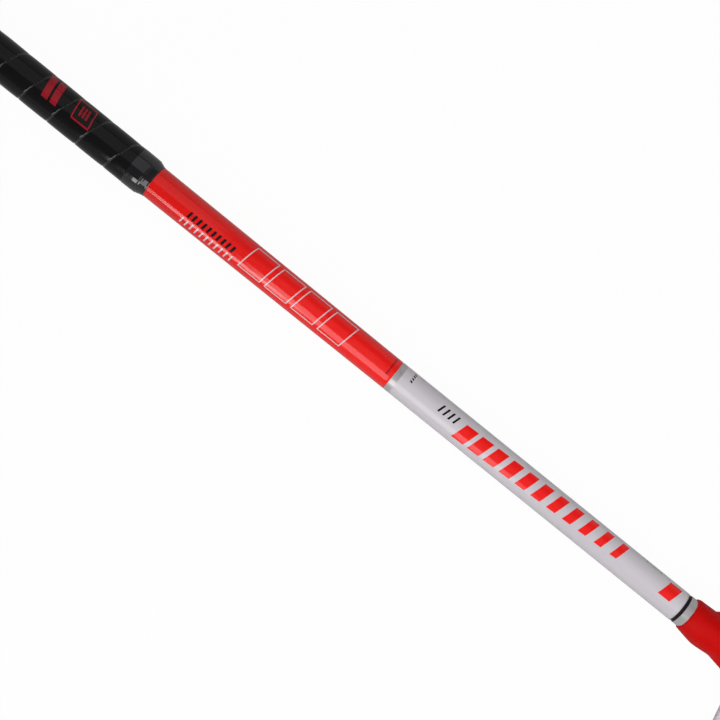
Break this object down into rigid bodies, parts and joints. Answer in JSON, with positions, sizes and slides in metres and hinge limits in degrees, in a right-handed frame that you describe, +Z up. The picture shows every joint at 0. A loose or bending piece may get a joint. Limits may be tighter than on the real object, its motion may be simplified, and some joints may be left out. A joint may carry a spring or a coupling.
{
  "type": "floorball stick",
  "caption": "Floorball stick: tapered composite shaft with a wound grip, rubber end cap, two colour films and a hooked open-web plastic blade screwed on.",
  "frame": {"origin": "on the floor under the middle of the stick's box, with the stick lying on its face: the end cap, the neck and the toe touch the floor", "axes": "+X along the shaft from the end cap to the blade, -Y towards the toe, +Z up, away from the side that the blade hooks to"},
  "size_m": [1.033, 0.2178, 0.0332],
  "materials": {
    "silver_lacquer": "silver grey lacquer on a glass-fibre and resin tube, satin gloss",
    "red_lacquer": "glossy red printed film",
    "white_lacquer": "glossy cool white printed film",
    "ring_rubber": "matte black",
    "grip_foam": "soft black polyurethane grip tape, slight sheen",
    "finishing_vinyl": "smooth black stretch tape, satin",
    "cap_rubber": "matte black rubber",
    "pale_moulding": "pale lilac-grey moulded plastic, fine matte grain",
    "red_moulding": "red moulded plastic, matte",
    "zinc_steel": "zinc-plated steel"
  },
  "bodies": {
    "root": {"shaft": "silver_lacquer", "red_film": "red_lacquer", "white_film": "white_lacquer", "trim_ring": "ring_rubber", "grip_tape": "grip_foam", "finishing_tape": "finishing_vinyl", "end_cap": "cap_rubber", "blade": "pale_moulding", "blade_neck": "red_moulding", "blade_screw_front": "zinc_steel", "blade_screw_back": "zinc_steel"}
  },
  "joints": []
}
